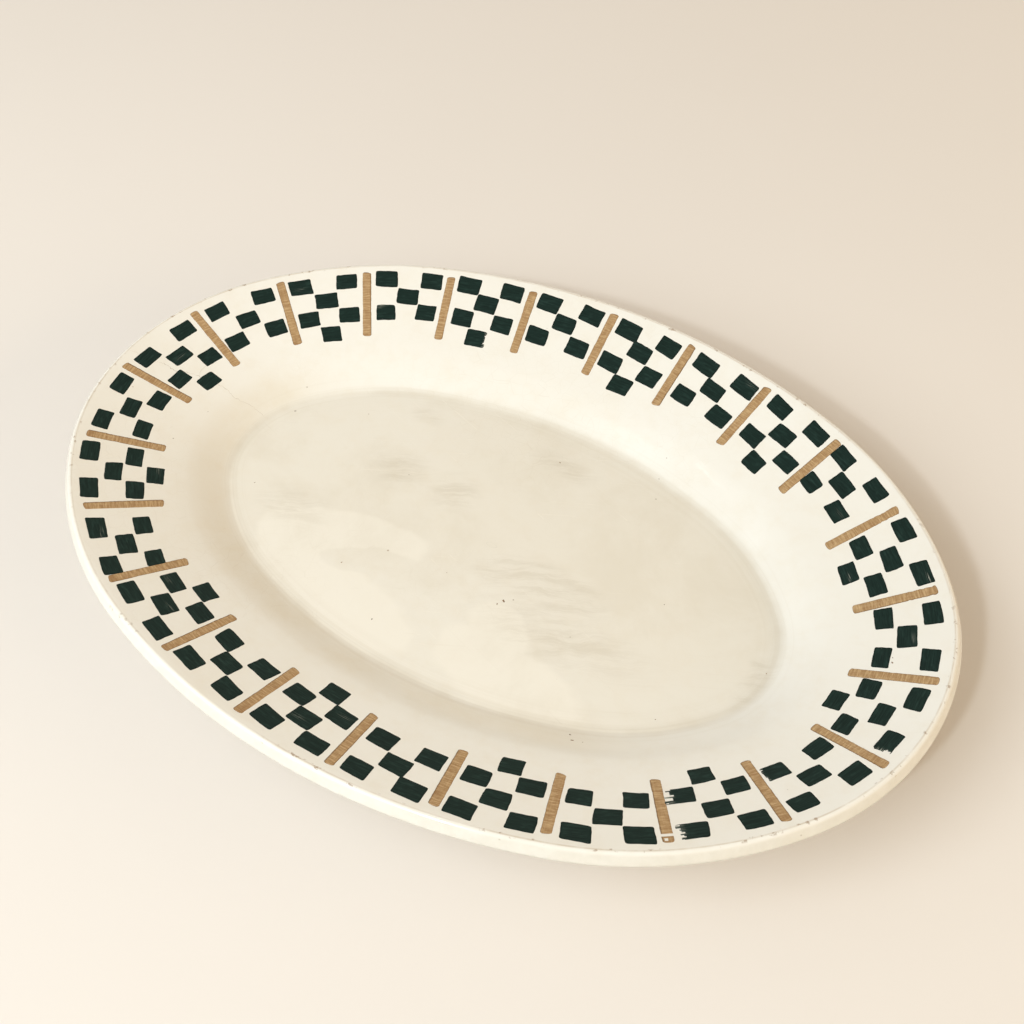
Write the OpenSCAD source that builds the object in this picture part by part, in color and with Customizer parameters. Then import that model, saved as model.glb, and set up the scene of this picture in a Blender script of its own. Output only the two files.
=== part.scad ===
// Oval serving platter in glazed earthenware with a hand-painted rim.
// One fired clay body with a foot ring, a glaze skin over it, a second
// glaze skin inside the foot, and brush-painted checks and bars on the rim.
// Millimetres, +Z up, origin on the table under the middle of the foot ring,
// +X along the long axis.
//
// The outline is an eight-centred oval: two end arcs, four shoulder arcs and
// two side arcs, all tangent. One profile is swept round every arc, so the
// rim keeps the same width all the way round.

/* [Outline] */
// Radius of the two end arcs, at the rim edge
end_r = 98; // [94:1:101]
// Radius of the four shoulder arcs, at the rim edge
shoulder_r = 147; // [142:1:152]
// Radius of the two side arcs, at the rim edge
side_r = 249; // [243:1:255]

/* [Section] */
// Height from the table to the rim edge
platter_h = 32; // [31:0.5:34]
// Depth of the well floor below the rim edge
well_depth = 23; // [22:0.5:24]
// Inset of the bend between the rim and the well wall
rim_w = 42; // [40:0.5:42.5]
// Drop of the rim for each millimetre inward
rim_slope = 0.35; // [0.3:0.01:0.38]
// Thickness of the rim, measured straight down
rim_t = 6.4; // [5.5:0.1:7]
// Inset of the crease between the well wall and the floor
floor_inset = 56.5; // [54.5:0.5:59]
// Thickness of the floor
floor_t = 5.2; // [4.5:0.1:5.6]
// How far the lip swells outside the rim edge
lip_out = 2.2; // [1.8:0.1:2.6]
// How far below the rim edge the side of the lip turns under
lip_drop = 5.5; // [5:0.1:5.7]
// Inset of the middle of the foot ring
foot_inset = 56.5; // [55.5:0.5:57.5]
// Width of the foot ring where it meets the table
foot_w = 4.6; // [4:0.1:5.2]

/* [Glaze] */
// Thickness of the glaze skin
glaze_t = 0.3; // [0.25:0.01:0.4]
// Height above the table at which the glaze was wiped off the foot
glaze_line = 1.6; // [1.4:0.1:2]

/* [Painting] */
// Thickness of the painted colour on the glaze
paint_t = 0.14; // [0.1:0.01:0.2]
// Length of a check along the rim
check_l = 10; // [8.6:0.1:10.4]
// Width of a check across the rim
check_w = 6.9; // [6:0.1:7]
// Distance from the middle of a panel to each paired check
pair_x = 9.2; // [8.6:0.1:9.4]
// Inset of the outermost row of checks
first_row = 7.9; // [7:0.1:9]
// Distance between rows of checks
row_step = 7.8; // [7.6:0.1:8]
// Width of a bar
bar_w = 3.7; // [2.4:0.1:3.8]
// Inset of the outer end of the bars
bar_from = 4.4; // [3.5:0.1:5]
// Inset of the inner end of the bars
bar_to = 32.8; // [31:0.1:33.5]
// Shift of the whole painted ring along the rim
ring_shift = -5; // [-8:0.5:8]
// How much the hand-spaced panels bunch up and spread out
spacing_drift = 1.6; // [0:0.1:1.8]
// Unevenness of each stroke
wobble = 0.35; // [0:0.05:0.5]

/* [Hidden] */
$fn = 144;

panels = 24;
floor_z = platter_h - well_depth;
base_z = floor_z - floor_t;
s_cut = 84;     // inset at which the swept arcs stop and the middle takes over
s_mid = 78;     // inset of the edge of the middle

// ---- the oval ------------------------------------------------------------
// Directions in which one arc hands over to the next. They are the 3-4-5 and
// 44-117-125 triangles, so that neighbouring arcs meet on round numbers.
d1 = [0.8, 0.6];        // end arc to shoulder arc
d2 = [0.352, 0.936];    // shoulder arc to side arc
c_side = [0, -(side_r - shoulder_r) * d2[1] - (shoulder_r - end_r) * d1[1]];
c_end = [(shoulder_r - end_r) * d1[0] + (side_r - shoulder_r) * d2[0], 0];
c_sho = c_end - (shoulder_r - end_r) * d1;
rim_a = c_end[0] + end_r;       // half length of the rim edge
rim_b = c_side[1] + side_r;     // half width of the rim edge

t1 = atan2(d1[1], d1[0]);
t2 = atan2(d2[1], d2[0]);

// the eight arcs, anticlockwise from the one that straddles +X:
// [centre, radius at the rim edge, first angle, last angle]
ARCS = [
  [c_end, end_r, -t1, t1],
  [c_sho, shoulder_r, t1, t2],
  [c_side, side_r, t2, 180 - t2],
  [[-c_sho[0], c_sho[1]], shoulder_r, 180 - t2, 180 - t1],
  [-c_end, end_r, 180 - t1, 180 + t1],
  [-c_sho, shoulder_r, 180 + t1, 180 + t2],
  [-c_side, side_r, 180 + t2, 360 - t2],
  [[c_sho[0], -c_sho[1]], shoulder_r, 360 - t2, 360 - t1]
];

// the lines on which arcs meet: [point well inside, point well outside]
function handover(c, r, d) = [c + (r - 90) * d, c + (r + 60) * d];
m1 = handover(c_end, end_r, d1);
m2 = handover(c_side, side_r, d2);
function flip(m, x, y) = [for (p = m) [p[0] * x, p[1] * y]];
MEET = [flip(m1, 1, -1), m1, m2, flip(m2, -1, 1), flip(m1, -1, 1),
        flip(m1, -1, -1), flip(m2, -1, -1), flip(m2, 1, -1)];

// point on arc k at a normal angle and an inset
function on_arc(k, ang, s) = ARCS[k][0] + (ARCS[k][1] - s) * [cos(ang), sin(ang)];

// length of arc k along the line of the painting, and the whole way round
paint_mid = 18;
function arc_len(k) = (ARCS[k][1] - paint_mid) * (ARCS[k][3] - ARCS[k][2]) * PI / 180;
function len_to(k) = k == 0 ? 0 : len_to(k - 1) + arc_len(k - 1);
ring_l = len_to(8);

// [arc number, normal angle] at a distance u along the ring, measured
// anticlockwise from +X
function place(u) = let (v = u + arc_len(0) / 2, w = v - floor(v / ring_l) * ring_l) walk(w, 0);
function walk(w, k) = (k == 7 || w < arc_len(k))
  ? [k, ARCS[k][2] + w / (ARCS[k][1] - paint_mid) * 180 / PI]
  : walk(w - arc_len(k), k + 1);

// ---- the section ---------------------------------------------------------
// A corner list [inset, height, radius] becomes a path with every corner
// rounded; each corner gets n + 1 points.
function unit(v) = v / norm(v);
function bend(p, c, q, r, n) =
  let (a = unit([p[0] - c[0], p[1] - c[1]]), b = unit([q[0] - c[0], q[1] - c[1]]),
       half = acos(a * b) / 2,
       t = r / tan(half),
       m = [c[0], c[1]] + unit(a + b) * r / sin(half),
       from = [c[0], c[1]] + a * t - m, to = [c[0], c[1]] + b * t - m,
       f = atan2(from[1], from[0]), g = atan2(to[1], to[0]),
       turn = g - f > 180 ? g - f - 360 : g - f < -180 ? g - f + 360 : g - f)
  [for (i = [0:n]) m + r * [cos(f + turn * i / n), sin(f + turn * i / n)]];

// steps used at a corner: one for about every 9 degrees of turn
function steps(p, c, q) =
  let (a = unit([c[0] - p[0], c[1] - p[1]]), b = unit([q[0] - c[0], q[1] - c[1]]))
  max(2, ceil(acos(a * b) / 9));

function path(c) = [
  for (i = [0:len(c) - 1])
    if (c[i][2] == 0) [c[i][0], c[i][1]]
    else each bend(c[i - 1], c[i], c[i + 1], c[i][2], steps(c[i - 1], c[i], c[i + 1]))
];

function rim_z(s) = platter_h - rim_slope * s;

foot_out = foot_inset - foot_w / 2;
foot_in = foot_inset + foot_w / 2;

// glazed top, lip and underside, from the well floor out and down to the
// line where the glaze was wiped off the foot
UPPER = path([
  [s_cut, floor_z, 0],
  [floor_inset, floor_z, 10],
  [rim_w, rim_z(rim_w), 50],
  [0, rim_z(0), 1.5],
  [-lip_out - 0.7, platter_h - lip_drop - 0.1, 1.8],
  [1.4, rim_z(1.4) - rim_t, 10],
  [41.5, rim_z(41.5) - rim_t + 0.4, 12],
  [foot_out - 1.4, base_z + 0.2, 2],
  [foot_out - 0.4, glaze_line, 0]
]);

// bare clay of the foot
FOOT = path([
  [foot_out - 0.4, glaze_line, 0],
  [foot_out, 0, 0.8],
  [foot_in, 0, 0.8],
  [foot_in + 0.4, glaze_line, 0]
]);

// glazed base inside the foot
LOWER = path([
  [foot_in + 0.4, glaze_line, 0],
  [foot_in + 1, base_z, 1.5],
  [s_cut, base_z, 0]
]);

// the same path moved by d into the clay: left of the way it runs, with the
// two ends kept on their own cut lines
function sub(p, d) = [
  for (i = [0:len(p) - 1])
    let (a = p[max(0, i - 1)], b = p[i], c = p[min(len(p) - 1, i + 1)],
         u = i == 0 ? unit(c - b) : unit(b - a), v = i == len(p) - 1 ? u : unit(c - b),
         nrm = unit([-u[1], u[0]] + [-v[1], v[0]]),
         k = d / (nrm * [-u[1], u[0]]))
    b + nrm * k
];

function back(p) = [for (i = [len(p) - 1:-1:0]) p[i]];
SKIN = sub(UPPER, glaze_t);
BASE = sub(LOWER, glaze_t);

// insets to a thousandth, so that a section lands alike on every arc
function tidy(p) = [for (q = p) [round(q[0] * 1000) / 1000, q[1]]];

// ---- sweeping ------------------------------------------------------------
// the wedge of the plan that belongs to arc k
module wedge(k) {
  m = MEET[k];
  n = MEET[(k + 1) % 8];
  translate([0, 0, -5])
    linear_extrude(height = platter_h + 10)
      polygon([m[0], m[1], n[1], n[0]]);
}

// a section given in [inset, height], turned round arc k
module turn(section, k) {
  intersection() {
    translate([ARCS[k][0][0], ARCS[k][0][1], 0])
      rotate_extrude()
        polygon([for (p = tidy(section)) [ARCS[k][1] - p[0], p[1]]]);
    wedge(k);
  }
}

// the same, round all eight arcs
module sweep(section) {
  for (k = [0:7]) turn(section, k);
}

// the flat middle, between two heights
module middle(z0, z1) {
  translate([0, 0, z0])
    linear_extrude(height = z1 - z0)
      polygon([
        for (k = [0:7])
          let (n = k % 4 == 0 ? 8 : 3)
            for (i = [0:n - 1])
              on_arc(k, ARCS[k][2] + (ARCS[k][3] - ARCS[k][2]) * i / n, s_mid)
      ]);
}

// ---- strokes -------------------------------------------------------------
// small repeatable unevenness between -1 and 1
function un(a, b) = let (x = sin(a * 127.1 + b * 311.7) * 43.758) 2 * (x - floor(x)) - 1;

// distance along the ring of the middle of panel k
function panel_u(k) = ring_shift + k * ring_l / panels + spacing_drift * cos((k - 8) * 30);

// colour lying on the flat slope of the rim along arc k
module colour_skin(k) {
  n = unit([rim_slope, 1]) * paint_t;
  turn([[1.5, rim_z(1.5)], [36, rim_z(36)],
        [36, rim_z(36)] + n, [1.5, rim_z(1.5)] + n], k);
}

// is a stroke at distance u along the ring, reaching r each way, on arc k?
function wrap(v) = v - floor(v / ring_l + 0.5) * ring_l;
function mid_of(k) = len_to(k) + arc_len(k) / 2 - arc_len(0) / 2;
function touches(k, u, r) = abs(wrap(u - mid_of(k))) < arc_len(k) / 2 + r;

// stands a flat shape up through the rim at distance u along the ring and
// inset s, with its own x running along the rim and y running inward
module stand(u, s, tilt) {
  p = place(u);
  c = on_arc(p[0], p[1], s);
  translate([c[0], c[1], rim_z(40) - 4])
    rotate([0, 0, p[1] + 90 + tilt])
      linear_extrude(height = platter_h - rim_z(40) + 6)
        children();
}

// one flat-brush dab: a rounded oblong with every corner a little off true
module dab(l, w, seed) {
  h = [l / 2, w / 2];
  e = wobble;
  r = 0.9;
  c = [for (q = [0:3])
    let (sx = (q == 0 || q == 3) ? 1 : -1, sy = q < 2 ? 1 : -1)
      [sx * h[0] + e * un(seed, q), sy * h[1] + 0.7 * e * un(seed, q + 5)]];
  polygon([
    for (q = [0:3])
      let (p = c[(q + 3) % 4], m = c[q], n = c[(q + 1) % 4])
        each bend(p, m, n, r + 0.3 * un(seed, q + 9), 3)
  ]);
}

// Two opposite panels were set late, so their last checks run on to the bar.
function late(p) = p % 12 == 3 ? 3 : 0;
function check_u(p, x, seed) = panel_u(p) + late(p) + x + wobble * un(seed, 20);

module check(p, x, row, seed) {
  s = first_row + row * row_step + 0.7 * cos((p - 5.5) * 60) + wobble * un(seed, 21);
  l = check_l - 0.45 * row + 0.45 * cos((p - 4.4) * 30) + 0.6 * wobble * un(seed, 22);
  w = check_w + 0.6 * cos((p - 7.2) * 30);
  difference() {
    stand(check_u(p, x, seed), s, -5.5 + 5.5 * cos(p * 30) + 6 * wobble * un(seed, 23))
      dab(l, w, seed);
    if (late(p) > 0) bar(p);
  }
}

// A row of checks, arc by arc. xs gives the places in a panel, and step skips
// panels.
module row_of_checks(row, xs, step) {
  for (k = [0:7])
    intersection() {
      colour_skin(k);
      union() {
        for (p = [0:step:panels - 1], i = [0:len(xs) - 1])
          if (touches(k, check_u(p, xs[i], p * 7 + row + i * 3), 9))
            check(p, xs[i], row, p * 7 + row + i * 3);
      }
    }
}

function bar_u(p) = (panel_u(p) + panel_u(p + 1)) / 2 + wobble * un(p, 16);

module bar(p) {
  s0 = bar_from + 0.5 * cos((p - 1.5) * 60);
  s1 = bar_to + 0.8 * cos((p - 8) * 15) + wobble * un(p, 3);
  h = (s1 - s0) / 2;
  w = bar_w / 2;
  stand(bar_u(p), (s0 + s1) / 2, 1.5 + 2 * cos((p - 3.5) * 30) + 4 * wobble * un(p, 55))
    polygon([
      [-w + 0.5, h], [-w, h - 0.5], [-w + 0.2, h / 3], [-w + 0.2 * un(p, 5), -h / 2],
      [-w + 0.1, -h + 0.5], [-w + 0.6, -h], [w - 0.5, -h], [w + 0.1, -h + 0.6],
      [w - 0.1, 0], [w + 0.2 * un(p, 6), h / 2], [w, h - 0.4], [w - 0.4, h]
    ]);
}

// ---- nodes ---------------------------------------------------------------
module clay_body() {
  color([0.86, 0.77, 0.66])
    union() {
      sweep(concat(SKIN, FOOT, BASE));
      middle(base_z + glaze_t, floor_z - glaze_t);
    }
}

module glaze_coat() {
  color([0.95, 0.93, 0.88])
    union() {
      sweep(concat(UPPER, back(SKIN)));
      middle(floor_z - glaze_t, floor_z);
    }
}

module base_glaze() {
  color([0.93, 0.9, 0.84])
    union() {
      sweep(concat(LOWER, back(BASE)));
      middle(base_z, base_z + glaze_t);
    }
}

module green_checks_outer() {
  color([0.1, 0.17, 0.15]) union() row_of_checks(0, [-pair_x, pair_x], 1);
}

module green_checks_second() {
  color([0.1, 0.17, 0.15]) union() row_of_checks(1, [0], 1);
}

module green_checks_third() {
  color([0.1, 0.17, 0.15]) union() row_of_checks(2, [-pair_x, pair_x], 1);
}

module green_checks_inner() {
  color([0.1, 0.17, 0.15]) union() row_of_checks(3, [0], 2);
}

module ochre_bars() {
  color([0.75, 0.6, 0.4])
    union()
      for (k = [0:7])
        intersection() {
          colour_skin(k);
          union() {
            for (p = [0:panels - 1])
              if (touches(k, bar_u(p), 9)) bar(p);
          }
        }
}

clay_body();
glaze_coat();
base_glaze();
green_checks_outer();
green_checks_second();
green_checks_third();
green_checks_inner();
ochre_bars();
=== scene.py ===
# Visual model of an oval hand-painted serving platter, built round its packed
# CAD frame. Metres, +Z up, the row frame throughout.
import math

import bmesh
import bpy
import numpy as np
from mathutils import Matrix, Vector, noise


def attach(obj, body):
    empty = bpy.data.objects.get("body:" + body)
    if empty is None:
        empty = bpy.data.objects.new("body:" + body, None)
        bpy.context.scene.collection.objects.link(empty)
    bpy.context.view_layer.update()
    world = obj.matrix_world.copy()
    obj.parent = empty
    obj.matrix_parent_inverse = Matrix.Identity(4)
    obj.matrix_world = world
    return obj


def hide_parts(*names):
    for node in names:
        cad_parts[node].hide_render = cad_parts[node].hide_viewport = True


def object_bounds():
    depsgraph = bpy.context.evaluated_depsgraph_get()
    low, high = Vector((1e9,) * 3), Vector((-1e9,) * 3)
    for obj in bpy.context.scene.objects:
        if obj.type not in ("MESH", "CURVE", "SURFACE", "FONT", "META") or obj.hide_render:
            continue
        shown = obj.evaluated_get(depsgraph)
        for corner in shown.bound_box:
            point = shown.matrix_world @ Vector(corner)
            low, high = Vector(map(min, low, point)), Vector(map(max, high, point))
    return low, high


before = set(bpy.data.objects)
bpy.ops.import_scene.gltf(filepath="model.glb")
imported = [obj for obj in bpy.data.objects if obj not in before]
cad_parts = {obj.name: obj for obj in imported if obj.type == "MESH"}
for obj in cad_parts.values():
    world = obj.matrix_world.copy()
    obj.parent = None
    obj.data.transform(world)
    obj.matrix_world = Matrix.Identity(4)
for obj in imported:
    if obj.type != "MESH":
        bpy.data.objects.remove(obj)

cad_lo, cad_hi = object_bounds()
MM = 0.001

# ---------------------------------------------------------------- the oval --
# Eight tangent arcs; the radii, directions and section corners are those of the
# CAD part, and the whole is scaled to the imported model's own box.
LIP_REACH = 2.2          # how far the lip swells past the rim edge, mm
K = (cad_hi.x - cad_lo.x) / 2 / ((98 + 0.8 * 49 + 0.352 * 102 + LIP_REACH) * MM)
R_END, R_SHO, R_SIDE = 98 * MM * K, 147 * MM * K, 249 * MM * K
D1, D2 = np.array([0.8, 0.6]), np.array([0.352, 0.936])
T1, T2 = math.atan2(D1[1], D1[0]), math.atan2(D2[1], D2[0])
C_SIDE = np.array([0.0, -(R_SIDE - R_SHO) * D2[1] - (R_SHO - R_END) * D1[1]])
C_END = np.array([(R_SHO - R_END) * D1[0] + (R_SIDE - R_SHO) * D2[0], 0.0])
C_SHO = C_END - (R_SHO - R_END) * D1
RIM_A, RIM_B = C_END[0] + R_END, C_SIDE[1] + R_SIDE
H = 32 * MM * K


def arcs():
    """Centre, radius, first and last angle of the eight arcs, anticlockwise."""
    p = math.pi
    e, s, d = C_END, C_SHO, C_SIDE
    return [
        (e, R_END, -T1, T1),
        (s, R_SHO, T1, T2),
        (d, R_SIDE, T2, p - T2),
        (s * [-1, 1], R_SHO, p - T2, p - T1),
        (-e, R_END, p - T1, p + T1),
        (-s, R_SHO, p + T1, p + T2),
        (-d, R_SIDE, p + T2, 2 * p - T2),
        (s * [1, -1], R_SHO, 2 * p - T2, 2 * p - T1),
    ]


def ring(n):
    """n columns evenly spaced along the rim: centre, radius, unit direction."""
    a = arcs()
    lens = np.array([r * (t1 - t0) for _, r, t0, t1 in a])
    ends = np.cumsum(lens)
    u = (np.arange(n) + 0.5) / n * ends[-1]
    k = np.searchsorted(ends, u)
    c = np.array([a[i][0] for i in k])
    r = np.array([a[i][1] for i in k])
    t = np.array([a[i][2] + (x - (ends[i] - lens[i])) / a[i][1] for i, x in zip(k, u)])
    return c, r, np.stack([np.cos(t), np.sin(t)], -1)


def inset(x, y):
    """Distance inside the rim edge, and the unit direction out through it."""
    x, y = np.asarray(x, float), np.asarray(y, float)
    sx, sy = np.where(x < 0, -1.0, 1.0), np.where(y < 0, -1.0, 1.0)
    ax, ay = abs(x), abs(y)
    side = (ax - C_SIDE[0]) * D2[1] < (ay - C_SIDE[1]) * D2[0]
    end = (ay - C_END[1]) * D1[0] < (ax - C_END[0]) * D1[1]
    cx = np.where(end, C_END[0], np.where(side, C_SIDE[0], C_SHO[0]))
    cy = np.where(end, C_END[1], np.where(side, C_SIDE[1], C_SHO[1]))
    r = np.where(end, R_END, np.where(side, R_SIDE, R_SHO))
    dx, dy = ax - cx, ay - cy
    d = np.hypot(dx, dy) + 1e-12
    return r - d, dx / d * sx, dy / d * sy


# ------------------------------------------------------------- the section --
def bend(p, c, q, r, step):
    p, c, q = (np.array(v[:2], float) for v in (p, c, q))
    a, b = (p - c) / np.linalg.norm(p - c), (q - c) / np.linalg.norm(q - c)
    half = math.acos(float(np.clip(a @ b, -1, 1))) / 2
    m = c + (a + b) / np.linalg.norm(a + b) * r / math.sin(half)
    f, g = c + a * r / math.tan(half) - m, c + b * r / math.tan(half) - m
    t0, t1 = math.atan2(f[1], f[0]), math.atan2(g[1], g[0])
    turn = (t1 - t0 + math.pi) % (2 * math.pi) - math.pi
    n = max(2, int(abs(turn) / math.radians(step)) + 1)
    return [m + r * np.array([math.cos(t0 + turn * i / n), math.sin(t0 + turn * i / n)])
            for i in range(n + 1)]


def path(corners, step=7.0, gap=2.2):
    """Rounded path through [inset, height, radius] corners, millimetres."""
    pts = []
    for i, c in enumerate(corners):
        if c[2] == 0:
            pts.append(np.array(c[:2], float))
        else:
            pts += bend(corners[i - 1], c, corners[i + 1], c[2], step)
    out = [pts[0]]
    for p in pts[1:]:
        d = np.linalg.norm(p - out[-1])
        n = max(1, math.ceil(d / gap))
        a = out[-1]
        out += [a + (p - a) * j / n for j in range(1, n + 1)]
    return np.array(out)


WELL, FLOOR_T, SLOPE, RIM_T = 23.0, 5.2, 0.35, 6.4
TOP, FLOOR, BASE = 32.0, 32.0 - WELL, 32.0 - WELL - FLOOR_T
FOOT_OUT, FOOT_IN, LINE = 54.2, 58.8, 1.6


def rim_z(s):
    return TOP - SLOPE * s


UPPER = path([
    [84, FLOOR, 0],
    [56.5, FLOOR, 10],
    [42, rim_z(42), 50],
    [0, rim_z(0), 1.5],
    [-LIP_REACH - 0.7, TOP - 5.6, 1.8],
    [1.4, rim_z(1.4) - RIM_T, 10],
    [41.5, rim_z(41.5) - RIM_T + 0.4, 12],
    [FOOT_OUT - 1.4, BASE + 0.2, 2],
    [FOOT_OUT - 0.4, LINE, 0],
])
FOOT = path([
    [FOOT_OUT - 0.4, LINE, 0],
    [FOOT_OUT, 0, 0.8],
    [FOOT_IN, 0, 0.8],
    [FOOT_IN + 0.4, LINE, 0],
], step=15, gap=0.9)
LOWER = path([
    [FOOT_IN + 0.4, LINE, 0],
    [FOOT_IN + 1, BASE, 1.5],
    [84, BASE, 0],
])


def sink(p, d):
    """The path moved d into the clay, on the left of the way it runs."""
    t = np.gradient(p, axis=0)
    t /= np.linalg.norm(t, axis=1)[:, None] + 1e-12
    return p + d * np.stack([-t[:, 1], t[:, 0]], -1)


edge = int(np.argmax(UPPER[:, 1]))          # the crest of the rim edge
_top = UPPER[:edge + 1][::-1]
RUN = np.r_[0, np.cumsum(np.linalg.norm(np.diff(UPPER, axis=0), axis=1))]
RUN = RUN - RUN[edge]                       # distance past the crest, in mm


def top_z(s):
    """Height of the glazed upper face at an inset, in metres."""
    return np.interp(np.asarray(s) / (MM * K), _top[:, 0], _top[:, 1]) * MM * K


# ------------------------------------------------- the unevenness of a hand --
def warp(v):
    """Kiln warp and a slightly rolling surface, the same for every piece."""
    v = np.array(v, float)
    a = np.arctan2(v[:, 1] / RIM_B, v[:, 0] / RIM_A)
    w = np.clip((v[:, 2] - 6 * MM) / (H - 6 * MM), 0, 1)
    w = w * w * (3 - 2 * w)
    v[:, 2] += w * MM * (0.32 * np.sin(2 * a + 0.7) + 0.20 * np.sin(3 * a + 2.1)
                         + 0.10 * np.sin(5 * a + 0.4) - 0.12)
    g = 1 + w * (0.0011 * np.sin(3 * a + 1.2) + 0.0007 * np.sin(5 * a - 0.8))
    v[:, 0] *= g
    v[:, 1] *= g
    return v


def ripple(x, y):
    """Rolling of the glazed face, a few hundredths of a millimetre."""
    return np.array([noise.fractal(Vector((a * 38, b * 38, 3.1)), 1.0, 2.1, 2)
                     for a, b in zip(np.ravel(x), np.ravel(y))]).reshape(np.shape(x)) * 0.055 * MM


# ------------------------------------------------------------- mesh helpers --
def make(name, verts, faces, attrs=None, uv=None, smooth=True):
    me = bpy.data.meshes.new(name)
    me.from_pydata([tuple(v) for v in verts], [], [tuple(f) for f in faces])
    for k, val in (attrs or {}).items():
        me.attributes.new(k, "FLOAT", "POINT").data.foreach_set(
            "value", np.asarray(val, np.float32))
    if uv is not None:
        layer = me.uv_layers.new(name="Stroke")
        idx = np.empty(len(me.loops), np.int32)
        me.loops.foreach_get("vertex_index", idx)
        layer.data.foreach_set("uv", np.asarray(uv, np.float32)[idx].ravel())
    if smooth:
        me.polygons.foreach_set("use_smooth", [True] * len(me.polygons))
    me.validate()
    me.update()
    ob = bpy.data.objects.new(name, me)
    bpy.context.scene.collection.objects.link(ob)
    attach(ob, "root")
    return ob


def sweep(prof, n):
    """Grid of points (rows, n, 3) of a section swept round the oval."""
    c, r, d = ring(n)
    s = prof[:, 0][:, None] * MM * K
    z = np.broadcast_to(prof[:, 1][:, None] * MM * K, (len(prof), n))
    xy = c[None] + (r[None] - s)[..., None] * d[None]
    return np.concatenate([xy, z[..., None]], -1)


def grid_faces(rows, n, first=0, flip=False):
    i = np.arange(rows - 1)[:, None] * n
    j = np.arange(n)[None]
    k = (j + 1) % n
    f = np.stack(np.broadcast_arrays(i + j, i + k, i + n + k, i + n + j), -1).reshape(-1, 4) + first
    return f[:, ::-1] if flip else f


def disc_rings(rim, rows):
    """Rings that carry a swept edge in to the middle, and the middle point."""
    out = [rim * [f, f, 1.0] for f in (1 - (np.arange(1, rows) / rows) ** 0.9)]
    return np.array(out), np.array([0.0, 0.0, rim[0, 2]])


# ------------------------------------------------------------ node material --
class Nodes:
    """Short names for building a node material."""

    def __init__(self, name):
        self.mat = bpy.data.materials.new(name)
        self.mat.use_nodes = True
        self.t = self.mat.node_tree
        self.t.nodes.clear()
        self.out = self.t.nodes.new("ShaderNodeOutputMaterial")
        self.sh = self.t.nodes.new("ShaderNodeBsdfPrincipled")
        self.t.links.new(self.sh.outputs[0], self.out.inputs[0])
        self.obj = self.node("ShaderNodeTexCoord").outputs["Object"]

    def node(self, kind, **props):
        n = self.t.nodes.new(kind)
        for k, v in props.items():
            setattr(n, k, v)
        return n

    def put(self, sock, v):
        if isinstance(v, bpy.types.NodeSocket):
            self.t.links.new(v, sock)
        elif v is not None:
            sock.default_value = v

    def math(self, op, a, b=None, c=None, clamp=False):
        n = self.node("ShaderNodeMath", operation=op, use_clamp=clamp)
        for s, v in zip(n.inputs, (a, b, c)):
            self.put(s, v)
        return n.outputs[0]

    def vmath(self, op, a, b=None, scale=None):
        n = self.node("ShaderNodeVectorMath", operation=op)
        self.put(n.inputs[0], a)
        self.put(n.inputs[1], b)
        if scale is not None:
            self.put(n.inputs["Scale"], scale)
        return n.outputs["Value"] if op in ("DISTANCE", "LENGTH", "DOT_PRODUCT") else n.outputs[0]

    def between(self, v, a, b, lo=0.0, hi=1.0, smooth=True):
        n = self.node("ShaderNodeMapRange")
        n.interpolation_type = "SMOOTHSTEP" if smooth else "LINEAR"
        for k, x in (("Value", v), ("From Min", a), ("From Max", b), ("To Min", lo), ("To Max", hi)):
            self.put(n.inputs[k], x)
        return n.outputs["Result"]

    def mix(self, f, a, b, how="MIX"):
        n = self.node("ShaderNodeMix", data_type="RGBA", blend_type=how)
        self.put(n.inputs["Factor"], f)
        col = [s for s in n.inputs if s.type == "RGBA"]
        self.put(col[0], a if isinstance(a, bpy.types.NodeSocket) else (*a, 1))
        self.put(col[1], b if isinstance(b, bpy.types.NodeSocket) else (*b, 1))
        return [s for s in n.outputs if s.type == "RGBA"][0]

    def noise(self, vec, scale, detail=3.0, rough=0.5, twist=0.0):
        n = self.node("ShaderNodeTexNoise")
        for k, v in (("Vector", vec), ("Scale", scale), ("Detail", detail),
                     ("Roughness", rough), ("Distortion", twist)):
            self.put(n.inputs[k], v)
        return n.outputs[0]

    def cells(self, vec, scale, feature="F1", jitter=1.0):
        n = self.node("ShaderNodeTexVoronoi", feature=feature)
        self.put(n.inputs["Vector"], vec)
        self.put(n.inputs["Scale"], scale)
        self.put(n.inputs["Randomness"], jitter)
        return n

    def attr(self, name):
        return self.node("ShaderNodeAttribute", attribute_name=name).outputs["Fac"]

    def stretch(self, vec, size, turn=0.0, move=(0, 0, 0)):
        n = self.node("ShaderNodeMapping")
        self.put(n.inputs["Vector"], vec)
        n.inputs["Location"].default_value = move
        n.inputs["Rotation"].default_value = (0, 0, math.radians(turn))
        n.inputs["Scale"].default_value = size
        return n.outputs[0]

    def bump(self, h, strength, dist, base=None):
        n = self.node("ShaderNodeBump")
        self.put(n.inputs["Height"], h)
        n.inputs["Strength"].default_value = strength
        n.inputs["Distance"].default_value = dist
        if base is not None:
            self.put(n.inputs["Normal"], base)
        return n.outputs[0]

    def set(self, **kw):
        for k, v in kw.items():
            self.put(self.sh.inputs[k.replace("_", " ")], v)


def patch(g, vec, cx, cy, rx, ry, turn, soft=0.25):
    """1 inside a soft ellipse, 0 outside; places and sizes are parts of the half length."""
    a = RIM_A
    m = g.stretch(vec, (1, 1, 1), 0, (-cx * a, -cy * a, 0))
    m = g.stretch(m, (1 / (rx * a), 1 / (ry * a), 0), 0) if turn == 0 else \
        g.stretch(g.stretch(m, (1, 1, 1), -turn), (1 / (rx * a), 1 / (ry * a), 0))
    return g.between(g.vmath("LENGTH", m), 1 + soft, 1 - soft)


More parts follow.
